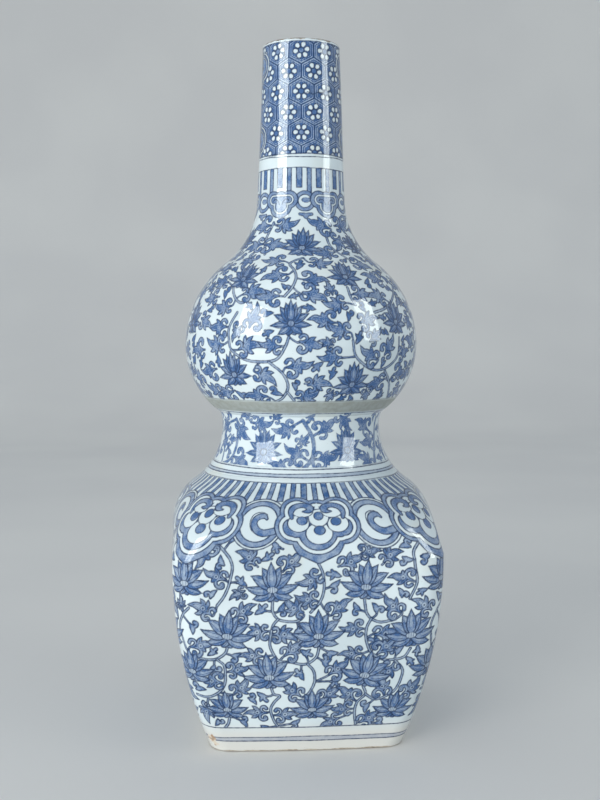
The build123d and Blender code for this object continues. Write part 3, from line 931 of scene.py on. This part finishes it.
# %% Paint everything
def decorate(canvas):
    """The whole painting on one canvas; what lies off the canvas is passed over."""
    for laid in (body, waist, bulb):
        strew(canvas, laid)
    plain(canvas, -5, BODY_LOW - 1.2)
    wash_ring(canvas, run_at(9.9), run_at(13.2), 0.4)
    for height, half in ((22.2, 0.5), (13.2, 0.4), (9.9, 0.5)):
        ring(canvas, run_at(height), half)
    lappets(canvas, FRINGE_LOW, FRINGE_HIGH, 34, 0.03, 1.75, 2.15, 2.6)
    collar(canvas)
    paint_band = (FRINGE_HIGH, WAIST_LOW)
    plain(canvas, *paint_band)
    wash_ring(canvas, run_at(216.2), run_at(218.4), 0.45)
    for height, half in ((212.4, 0.4), (216.2, 0.5), (218.4, 0.4), (221.9, 0.5)):
        ring(canvas, run_at(height), half)
    plain(canvas, WAIST_HIGH, BULB_LOW)
    ring(canvas, WAIST_HIGH, 0.5)
    ring(canvas, BULB_LOW, 0.25)
    lappets(canvas, run_at(436), run_at(459), 14, 0.073, 1.7, 2.2, 7.5)
    for place in range(6):
        paint(canvas, trefoil, 0.02 + place / 1.5, run_at(421.5), reach=11)
    for place in range(6):
        paint(canvas, small_curl, 0.01 + place / 1.5, run_at(432.5), reach=14)
    for place in range(6):
        paint(canvas, small_ruyi, 0.0 + (place + 0.5) / 1.5, run_at(431.0), reach=20)
    hexagons(canvas, run_at(470.2), run_at(559.2))
    for row in range(-1, 6):
        shift = HEX_TURN + (row % 2) * HEX_PITCH / 2
        run = HEX_RUN - row * HEX_ROW
        if run_at(470.2) - 3 < run < run_at(557.6):
            for place in range(10):
                paint(canvas, floret, shift + HEX_PITCH * place, run, hand.uniform(-14, 14), reach=9)
    for side in (1, 3):
        for height in (543, 484):
            paint(canvas, panel, side, run_at(height), reach=22)
            paint(canvas, lotus, side, run_at(height), 0, 1, 0.55, form=1)
    plain(canvas, run_at(459), run_at(470.2))
    for height, half in ((459, 0.4), (468.0, 0.4), (470.2, 0.5), (559.2, 0.4)):
        ring(canvas, run_at(height), half)
    for path in CRACKS:
        crack(canvas, path)


# %% [markdown]
# Each clay section gets a closed skin: a grid goes up its outside, over its top edge, down its
# inside and under its foot. The outside carries the painting as attributes. The grid's
# columns are even turns, so a pattern runs on across the joints and the corners.


# %% Build the skins
def steps(low, high, spacing):
    """Even places from low to high, about a spacing apart."""
    return np.linspace(low, high, max(int(round((high - low) / spacing)), 1) + 1)


FOOT_ROUND = 1.2


def loop_of(runs, inset, inner_spacing):
    """Half widths, heights, insets and shares round a wall's section: up the outside, down the
    inside. The foot's lower edge is rounded by an arc. The share draws a level in to the axis."""
    half, height, _ = at_run(runs)
    rounded = FOOT_ROUND - np.sqrt(FOOT_ROUND**2 - np.maximum(FOOT_ROUND - height, 0) ** 2)
    back = steps(runs[-1], runs[0], inner_spacing)
    inner_half, inner_height, lean = at_run(back)
    level = (np.concatenate([half, inner_half]), np.concatenate([height, inner_height]))
    return *level, np.concatenate([rounded, inset / np.cos(lean)]), np.ones(len(half) + len(back))


def slab_levels(runs):
    """The levels of a solid slab: up its edge, in over its top to the axis, and out below."""
    half, height, _ = at_run(runs)
    over = np.array([0.9, 0.6, 0.3, 0.0])
    share = np.concatenate([np.ones(len(runs)), over, over[::-1]])
    top, bottom = np.full(4, height[-1]), np.full(4, height[0])
    level = np.concatenate([half, np.full(4, half[-1]), np.full(4, half[0])]), np.concatenate([height, top, bottom])
    return *level, 0 * share, share


def build_skin(name, nodes, turns, level, canvas, low, closed):
    """One closed skin. Its rows are the levels, joined last to first, and its columns the turns.
    Where it doesn't go all the way round, its two cut ends are closed by one face each."""
    half, height, inset, share = (np.asarray(part)[:, None] for part in level)
    place, away, _ = outline(turns[None, :], half, height, inset)
    place = (place + away * unevenness(place)[..., None]) * MM
    place[..., :2] *= share[..., None]
    rows, columns = place.shape[:2]
    across = np.arange(columns if closed else columns - 1)
    r, c = np.meshgrid(np.arange(rows), across, indexing="ij")
    r_next, c_next = (r + 1) % rows, (c + 1) % columns
    quads = np.stack([r * columns + c, r * columns + c_next, r_next * columns + c_next, r_next * columns + c], -1)
    corners, starts = quads.reshape(-1), np.arange(0, quads.size, 4)
    if not closed:
        first = np.arange(rows) * columns
        corners = np.concatenate([corners, first, first[::-1] + columns - 1])
        starts = np.concatenate([starts, [quads.size, quads.size + rows]])
    mesh = bpy.data.meshes.new(name)
    mesh.vertices.add(rows * columns)
    mesh.vertices.foreach_set("co", place.astype(np.float32).ravel())
    mesh.loops.add(len(corners))
    mesh.loops.foreach_set("vertex_index", corners.astype(np.int32))
    mesh.polygons.add(len(starts))
    mesh.polygons.foreach_set("loop_start", starts.astype(np.int32))
    mesh.update(calc_edges=True)
    painted = len(canvas.runs[low[0] : low[1]])
    for field, blank in (("line", -FAR), ("wash", -FAR), ("tone", 0.0)):
        values = np.full((rows, columns), blank)
        source = getattr(canvas, field)[low[0] : low[1], low[2]]
        values[:painted] = source
        attribute = mesh.attributes.new(field, "FLOAT", "POINT")
        attribute.data.foreach_set("value", values.astype(np.float32).ravel())
    inside = mesh.attributes.new("inside", "FLOAT", "POINT")
    inside.data.foreach_set("value", (np.broadcast_to(inset > 4, (rows, columns))).astype(np.float32).ravel())
    unwrap(mesh, rows, columns, painted, r, c, closed)
    mesh.polygons.foreach_set("use_smooth", np.ones(len(starts), bool))
    mesh.set_sharp_from_angle(angle=radians(50))
    if share.min() == 0:
        weld_axis(mesh)
    mesh.validate()
    piece = bpy.data.objects.new(name, mesh)
    bpy.context.scene.collection.objects.link(piece)
    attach(piece, "root")
    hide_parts(*nodes)
    return piece


def weld_axis(mesh):
    """Joins the points that a solid slab's levels put on its axis, one above and one below."""
    work = bmesh.new()
    work.from_mesh(mesh)
    on_axis = [v for v in work.verts if abs(v.co.x) + abs(v.co.y) < 1e-7]
    bmesh.ops.remove_doubles(work, verts=on_axis, dist=1e-6)
    work.to_mesh(mesh)
    work.free()


def unwrap(mesh, rows, columns, painted, r, c, closed):
    """A map for the skin: quarter turns as strips, one over the other, and most of each strip's
    height for the painted outside. Cut ends lie in two slivers beside them."""
    weight = np.where(np.arange(rows) < painted, 1.0, 0.3)
    up = np.concatenate([[0], np.cumsum(weight)]) / weight.sum()
    strips = 4 if closed else 1
    per_strip = (columns if closed else columns - 1) / strips
    strip = c // per_strip
    u0 = (c - strip * per_strip) / per_strip * 0.97
    u1 = u0 + 0.97 / per_strip
    v0, v1 = (strip + 0.98 * up[r]) / strips, (strip + 0.98 * up[r + 1]) / strips
    flat = np.stack([np.stack([u0, v0], -1), np.stack([u1, v0], -1), np.stack([u1, v1], -1), np.stack([u0, v1], -1)], 2)
    flat = flat.reshape(-1, 2)
    if not closed:
        end = 0.98 * up[:rows]
        thick = np.where(np.arange(rows) < painted, 0.0, 0.008)
        flat = np.concatenate([flat, np.stack([0.975 + thick, end], 1), np.stack([0.988 + thick, end], 1)[::-1]])
    layer = mesh.uv_layers.new(name="OFBake")
    layer.data.foreach_set("uv", flat.astype(np.float32).ravel())


# %% [markdown]
# One canvas serves several sections, so that nothing has to be matched at a joint. Its rows
# are packed closer than a pixel of the photograph.


# %% Paint the canvases and skin the vase
def make_canvas(sections, columns, spacing):
    """A canvas whose rows pass exactly through the joints, and each section's range of rows."""
    runs, spans = [run_at(sections[0][1])], {}
    for name, low, high in sections:
        rows = steps(run_at(low), run_at(high), spacing)
        spans[name] = (len(runs) - 1, len(runs) - 1 + len(rows))
        runs = np.concatenate([runs, rows[1:]])
    canvas = Canvas(np.asarray(columns), np.asarray(runs))
    decorate(canvas)
    return canvas, spans


def levels_of(canvas, span, inset, inner_spacing=9.0):
    """The section loop over a span of a canvas's rows."""
    return loop_of(canvas.runs[span[0] : span[1]], inset, inner_spacing)


def all_round(columns):
    """Even turns all the way round, the first at the middle of the front left corner."""
    return np.arange(columns) * 4 / columns - 0.5


skins = []
EVERY = slice(None)
PER_FACE = 318
MITRE = 0.0021
face = np.concatenate([[-0.5 + MITRE], np.linspace(-0.5, 0.5, PER_FACE + 1)[2:-2], [0.5 - MITRE]])
body_turns = np.concatenate([face + side for side in range(4)])
body_canvas, spans = make_canvas(
    (("foot_ring", 0, 6), ("slip_foot", 6, 6 + SLIP), ("base_slab", 6 + SLIP, 15), ("slip_base", 15, 15 + SLIP),
     ("walls", 15 + SLIP, 167), ("slip_shoulder", 167, 167 + SLIP)), body_turns, 0.66)
for name, slot, inset in (("foot_ring", "foot_porcelain", WALL), ("slip_foot", "slip_seam", WALL + RIDGE),
                          ("base_slab", "glazed_porcelain", 0), ("slip_base", "slip_seam", WALL + RIDGE),
                          ("slip_shoulder", "slip_seam", WALL + RIDGE)):
    span = spans[name]
    level = levels_of(body_canvas, span, inset) if inset else slab_levels(body_canvas.runs[span[0] : span[1]])
    skins.append(build_skin(name + "_skin", [name], body_turns, level, body_canvas, (*span, EVERY), True))
wall_level = levels_of(body_canvas, spans["walls"], WALL)
SIDES, CORNERS = ("front", "right", "back", "left"), ("front_right", "back_right", "back_left", "front_left")
slip_level = levels_of(body_canvas, spans["walls"], WALL + RIDGE)
for side in range(4):
    columns = np.arange(len(face)) + side * len(face)
    skins.append(build_skin(f"wall_{SIDES[side]}_skin", [f"wall_{SIDES[side]}"], body_turns[columns],
                            wall_level, body_canvas, (*spans["walls"], columns), False))
    pair = np.array([columns[-1], (columns[-1] + 1) % len(body_turns)])
    seam = np.array([side + 0.5 - MITRE, side + 0.5 + MITRE])
    skins.append(build_skin(f"slip_corner_{CORNERS[side]}_skin", [f"slip_corner_{CORNERS[side]}"], seam,
                            slip_level, body_canvas, (*spans["walls"], pair), False))


def skin_rings(sections, columns, spacing):
    """Paints a canvas and skins its sections, which go all the way round."""
    turns = all_round(columns)
    canvas, found = make_canvas([section[:3] for section in sections], turns, spacing)
    for name, low, high, node in sections:
        seam = node.startswith("slip")
        level = levels_of(canvas, found[name], WALL + RIDGE if seam else WALL)
        skins.append(build_skin(name + "_skin", [node], turns, level, canvas, (*found[name], EVERY), True))
    return canvas, found, turns


skin_rings((("shoulder_dome", 167 + SLIP, 215, "shoulder_dome"),), 1200, 0.74)
skin_rings((("slip_waist_foot", 215, 215 + SLIP, "slip_waist_foot"), ("waist_collar", 215 + SLIP, 262, "waist_collar"),
            ("slip_waist_top", 262, 262 + SLIP, "slip_waist_top")), 860, 0.6)
BULB_SPLIT = 372.0
skin_rings((("bulb_lower", 262 + SLIP, 318, "bulb_lower"), ("slip_bulb", 318, 318 + SLIP, "slip_bulb"),
            ("bulb_upper_round", 318 + SLIP, BULB_SPLIT, "bulb_upper")), 920, 0.68)
skin_rings((("bulb_upper_sweep", BULB_SPLIT, 417, "bulb_upper"), ("slip_neck", 417, 417 + SLIP, "slip_neck")), 640, 0.66)


def skin_neck():
    """The neck, with its lip: a quarter circle, a flat top and a quarter circle down inside."""
    turns = all_round(400)
    canvas, found = make_canvas((("neck", 417 + SLIP, RIM_HEIGHT - LIP_ROUND),), turns, 0.7)
    half, height, inset, share = levels_of(canvas, found["neck"], WALL)
    outside = len(canvas.runs)
    bend = np.radians(np.arange(12, 91, 13))
    down = bend[::-1]
    lip_inset = np.concatenate([LIP_ROUND * (1 - np.cos(bend)), WALL - LIP_ROUND * (1 - np.cos(down))])
    lip_height = RIM_HEIGHT - LIP_ROUND + LIP_ROUND * np.concatenate([np.sin(bend), np.sin(down)])
    lip_half = np.full(len(lip_inset), RIM_RADIUS)
    level = [np.concatenate([part[:outside], lip, part[outside:]]) for part, lip in
             ((half, lip_half), (height, lip_height), (inset, lip_inset), (share, 0 * lip_inset + 1))]
    skins.append(build_skin("neck_skin", ["neck"], turns, level, canvas, (*found["neck"], EVERY), True))


skin_neck()
print("skins:", len(skins), "triangles:", sum(len(s.data.loops) - 2 * len(s.data.polygons) for s in skins))
print("largest:", max((len(s.data.loops) - 2 * len(s.data.polygons), s.name) for s in skins))

# %% [markdown]
# The glaze is clear and a little blue over white clay; the cobalt lies under it. Its edges are
# soft, it pools darker in places, and the dark outlines are uneven. That recipe is a node
# group, because the foot's material needs it too. The shader itself stays in the material.


# %% The cobalt painting as a node group
def srgb(red, green, blue):
    """A colour from its screen values, 0 to 255, as the linear values that a shader takes."""
    share = np.array([red, green, blue]) / 255
    return (*np.where(share <= 0.04045, share / 12.92, ((share + 0.055) / 1.055) ** 2.4), 1.0)


class Nodes:
    """A short way to place nodes in a tree and link them."""

    def __init__(self, tree):
        self.tree = tree

    def add(self, kind, inputs=(), **settings):
        """A node with its settings, and its inputs by name or number: values or other outputs."""
        node = self.tree.nodes.new(kind)
        for name, value in settings.items():
            setattr(node, name, value)
        for key, value in dict(inputs).items():
            if isinstance(value, bpy.types.NodeSocket):
                self.tree.links.new(value, node.inputs[key])
            else:
                node.inputs[key].default_value = value
        return node

    def math(self, operation, *values):
        """The result of one sum."""
        return self.add("ShaderNodeMath", enumerate(values), operation=operation).outputs[0]

    def ramp(self, value, low, high, bottom=0.0, top=1.0):
        """A smooth rise from bottom to top as a value goes from low to high."""
        inputs = {"Value": value, "From Min": low, "From Max": high, "To Min": bottom, "To Max": top}
        return self.add("ShaderNodeMapRange", inputs, interpolation_type="SMOOTHSTEP").outputs[0]

    def noise(self, scale, detail=2.0):
        """Noise of a scale per metre, on the piece's own coordinates."""
        place = self.add("ShaderNodeTexCoord").outputs["Object"]
        return self.add("ShaderNodeTexNoise", {"Vector": place, "Scale": scale, "Detail": detail}).outputs[0]

    def mix(self, share, first, second):
        """One colour into another by a share."""
        node = self.add("ShaderNodeMix", {0: share, 6: first, 7: second}, data_type="RGBA")
        return node.outputs[2]


GLAZE_WHITE, GLAZE_GREY, GLAZE_WARM = srgb(214, 227, 232), srgb(200, 214, 220), srgb(213, 216, 202)
GLAZE_STONE = srgb(216, 215, 209)
COBALT, COBALT_DEEP, INSIDE_GLAZE = srgb(62, 99, 150), srgb(28, 51, 86), srgb(184, 190, 186)


def painted_group():
    """The group: three fields and how stony the glaze is in; the colour and the cobalt out."""
    tree = bpy.data.node_groups.new("cobalt_painting", "ShaderNodeTree")
    for name in ("Line", "Wash", "Tone", "Stony"):
        tree.interface.new_socket(name, in_out="INPUT", socket_type="NodeSocketFloat")
    tree.interface.new_socket("Color", in_out="OUTPUT", socket_type="NodeSocketColor")
    tree.interface.new_socket("Cobalt", in_out="OUTPUT", socket_type="NodeSocketFloat")
    n = Nodes(tree)
    given = n.add("NodeGroupInput").outputs
    ragged = n.math("MULTIPLY", n.math("SUBTRACT", n.noise(420, 3), 0.5), 0.7)
    wash_depth = n.math("ADD", given["Wash"], ragged)
    line_depth = n.math("ADD", given["Line"], n.math("MULTIPLY", ragged, 0.45))
    pooled = n.ramp(n.noise(150, 3), 0.3, 0.72, 0.78, 1.16)
    fine = n.ramp(n.noise(900, 2), 0.3, 0.7, 0.9, 1.1)
    strength = n.math("MULTIPLY", n.math("MULTIPLY", pooled, fine), given["Tone"])
    wash = n.math("MULTIPLY", n.ramp(wash_depth, -0.35, 0.3), strength)
    halo = n.math("MULTIPLY", n.ramp(wash_depth, -2.2, 0.2), 0.06)
    heaped = n.ramp(n.noise(330, 2), 0.3, 0.7, 0.72, 1.0)
    line = n.math("MULTIPLY", n.ramp(line_depth, -0.25, 0.18), heaped)
    ground = n.mix(n.ramp(n.noise(11, 2), 0.42, 0.68), GLAZE_WHITE, GLAZE_GREY)
    ground = n.mix(n.ramp(n.noise(26, 3), 0.55, 0.8, 0, 0.5), ground, GLAZE_WARM)
    ground = n.mix(given["Stony"], ground, GLAZE_STONE)
    pigment = n.mix(n.ramp(strength, 0.95, 1.7, 0, 0.62), COBALT, COBALT_DEEP)
    colour = n.mix(n.math("MAXIMUM", wash, halo), ground, pigment)
    colour = n.mix(line, colour, COBALT_DEEP)
    n.add("NodeGroupOutput", {"Color": colour, "Cobalt": n.math("MAXIMUM", wash, line)})
    return tree


PAINTING = painted_group()


def painted(n, stony):
    """The painting group in a material, fed from the skin's attributes."""
    fields = {"Stony": stony}
    for socket, name in (("Line", "line"), ("Wash", "wash"), ("Tone", "tone")):
        fields[socket] = n.add("ShaderNodeAttribute", attribute_name=name).outputs["Fac"]
    return n.add("ShaderNodeGroup", fields, node_tree=PAINTING).outputs


def new_material(name):
    """A material with a Principled shader, and the helper that places its nodes."""
    material = bpy.data.materials.new(name)
    material.use_nodes = True
    return material, Nodes(material.node_tree), material.node_tree.nodes["Principled BSDF"]


CHIPPED_CORNER = (-0.0745, -0.0745, 0.009)


def glaze_material(name, foot=False):
    """Clear glaze over the painting, with pinholes and a slow ripple. On the foot, the bottom
    edge is bare, gritty clay; at the rim the glaze has worn to brown; under the bulb a grey band is
    partly scuffed glaze and partly painted shade where the bulb overhangs it; and the foot's front left corner is
    chipped."""
    material, n, shader = new_material(name)
    height = n.add("ShaderNodeSeparateXYZ", {0: n.add("ShaderNodeTexCoord").outputs["Object"]}).outputs["Z"]
    painting = painted(n, n.ramp(height, 0.012, 0.03, 0.85, 0.0))
    specks = n.ramp(n.noise(1300, 1), 0.76, 0.8)
    colour = n.mix(n.math("MULTIPLY", specks, 0.5), painting["Color"], srgb(96, 84, 70))
    # A grey band under the bulb: scuffed, rough glaze, darkened further by painted shade where the bulb overhangs it.
    band = n.math("MULTIPLY", n.ramp(height, 0.2652, 0.2660), n.ramp(height, 0.2736, 0.2768, 1.0, 0.0))
    scuffed_and_shaded = n.math("MULTIPLY", band, n.ramp(n.noise(240, 5), 0.25, 0.75, 0.78, 1.0))
    colour = n.mix(scuffed_and_shaded, colour, srgb(146, 151, 144))
    inside = n.add("ShaderNodeAttribute", attribute_name="inside").outputs["Fac"]
    colour = n.mix(n.math("MULTIPLY", inside, n.ramp(height, 0.5605, 0.5618, 1.0, 0.0)), colour, INSIDE_GLAZE)
    rough = n.math("ADD", 0.04, n.math("MULTIPLY", n.noise(60, 2), 0.03))
    rough = n.math("ADD", rough, n.math("MULTIPLY", scuffed_and_shaded, 0.4))
    if foot:
        ragged = n.math("ADD", height, n.math("MULTIPLY", n.math("SUBTRACT", n.noise(90, 4), 0.5), 0.004))
        bare = n.ramp(ragged, 0.0009, 0.0016, 0.8, 0.0)
        clay = n.mix(n.ramp(n.noise(300, 4), 0.35, 0.7), srgb(196, 186, 168), srgb(134, 112, 88))
    else:
        ragged = n.math("ADD", height, n.math("MULTIPLY", n.math("SUBTRACT", n.noise(170, 4), 0.5), 0.006))
        bare = n.ramp(ragged, 0.5602, 0.5614, 0.0, 0.9)
        clay = n.mix(n.ramp(n.noise(420, 4), 0.35, 0.65), srgb(150, 132, 108), srgb(84, 64, 48))
    corner = n.add("ShaderNodeVectorMath", {0: n.add("ShaderNodeTexCoord").outputs["Object"], 1: CHIPPED_CORNER},
                   operation="DISTANCE").outputs["Value"]
    away = n.math("ADD", corner, n.math("MULTIPLY", n.math("SUBTRACT", n.noise(190, 4), 0.5), 0.03))
    colour = n.mix(bare, colour, clay)
    chipped = n.ramp(away, 0.003, 0.0042, 1.0, 0.0)
    colour = n.mix(chipped, colour, n.mix(n.ramp(n.noise(300, 3), 0.4, 0.6), srgb(166, 138, 112), srgb(212, 202, 186)))
    bare = n.math("MAXIMUM", bare, chipped)
    n.tree.links.new(colour, shader.inputs["Base Color"])
    n.tree.links.new(n.math("ADD", rough, n.math("MULTIPLY", bare, 0.5)), shader.inputs["Roughness"])
    ripple = n.math("ADD", n.math("MULTIPLY", n.noise(70, 2), 1.0), n.math("MULTIPLY", specks, -0.05))
    bump = n.add("ShaderNodeBump", {"Height": ripple, "Strength": 0.5, "Distance": 0.0006})
    n.tree.links.new(bump.outputs[0], shader.inputs["Normal"])
    shader.inputs["IOR"].default_value = 1.5
    return material


glaze, foot_glaze = glaze_material("cobalt_glaze"), glaze_material("foot_clay_and_glaze", True)
for piece in skins:
    piece.data.materials.append(foot_glaze if piece.name.startswith("foot_ring") else glaze)
print("materials:", [m.name for m in bpy.data.materials])

# %% [markdown]
# The vase stands on a pale sweep that curves up behind it. Two lamps, a key and a fill, light it
# evenly and aren't reflected. Two soft boxes, one to each side, are seen only as reflections:
# they draw the bright strips on the neck and the square patches on the bulb.


# %% Floor, lights and camera
def sweep():
    """A sheet 8 m wide: flat, then a quarter circle of 1.5 m radius, then upright."""
    bend = np.linspace(0, pi / 2, 24)
    y = np.concatenate([[-4.0], 2.2 + 1.5 * np.sin(bend), [3.7]])
    z = np.concatenate([[0.0], 1.5 - 1.5 * np.cos(bend), [5.0]])
    x = np.array([-4.0, 4.0])
    points = np.stack([np.broadcast_to(x[None, :], (len(y), 2)), np.repeat(y[:, None], 2, 1), np.repeat(z[:, None], 2, 1)], -1)
    first = np.arange(len(y) - 1) * 2
    faces = np.stack([first, first + 1, first + 3, first + 2], 1)
    mesh = bpy.data.meshes.new("sweep")
    mesh.from_pydata(points.reshape(-1, 3).tolist(), [], faces.tolist())
    mesh.polygons.foreach_set("use_smooth", np.ones(len(faces), bool))
    sheet = bpy.data.objects.new("sweep", mesh)
    bpy.context.scene.collection.objects.link(sheet)
    material, n, shader = new_material("sweep_paper")
    n.tree.links.new(n.mix(n.ramp(n.noise(2, 2), 0.3, 0.7), srgb(226, 226, 224), srgb(220, 220, 219)), shader.inputs["Base Color"])
    shader.inputs["Roughness"].default_value = 0.9
    mesh.materials.append(material)


def soft_box(name, azimuth, distance, height, width, tall, power, tilt, mirrored):
    """A lamp at an azimuth from the camera's side, tilted to face the vase. A mirrored one is
    seen only as a reflection in the glaze; the other kind lights the vase and isn't reflected."""
    light = bpy.data.lights.new(name, "AREA")
    light.shape, light.size, light.size_y, light.energy = "RECTANGLE", width, tall, power
    lamp = bpy.data.objects.new(name, light)
    angle = radians(azimuth) - CAMERA_TURN
    lamp.location = (distance * sin(angle), -distance * cos(angle), height)
    lamp.rotation_euler = (radians(90 - tilt), 0, angle)
    lamp.visible_glossy, lamp.visible_diffuse = mirrored, not mirrored
    light.color = (0.92, 1.0, 0.97) if mirrored else (1.0, 0.985, 0.95)
    bpy.context.scene.collection.objects.link(lamp)


sweep()
soft_box("key", -38, 2.4, 0.35, 1.3, 0.9, 46, 4, mirrored=False)
soft_box("fill", 70, 2.4, 0.5, 1.2, 1.0, 6, 6, mirrored=False)
soft_box("soft_box_left", -52, 1.6, 1.02, 0.8, 0.95, 26, 18, mirrored=True)
soft_box("soft_box_right", 72, 1.6, 0.96, 0.56, 1.2, 17, 16, mirrored=True)

world = bpy.data.worlds.new("studio")
bpy.context.scene.world = world
world.use_nodes = True
n = Nodes(world.node_tree)
path = n.add("ShaderNodeLightPath").outputs
shown = n.math("MAXIMUM", path["Is Camera Ray"], n.math("MAXIMUM", path["Is Glossy Ray"], path["Is Transmission Ray"]))
background = world.node_tree.nodes["Background"]
background.inputs["Color"].default_value = (0.87, 0.94, 1.0, 1.0)
n.tree.links.new(n.add("ShaderNodeMapRange", {"Value": shown, "To Min": 0.62, "To Max": 0.74}).outputs[0], background.inputs["Strength"])

camera = bpy.data.objects.new("camera", bpy.data.cameras.new("camera"))
IMAGE_TALL, SENSOR = 800, 36.0
camera.data.lens = FOCAL_PIXELS * SENSOR / IMAGE_TALL
camera.data.shift_x = -(MIDDLE_X - 300) / IMAGE_TALL
camera.location = EYE * MM
camera.rotation_euler = (pi / 2 - CAMERA_PITCH, 0, -CAMERA_TURN)
bpy.context.scene.collection.objects.link(camera)
bpy.context.scene.camera = camera
bpy.context.scene.view_settings.view_transform = "Standard"
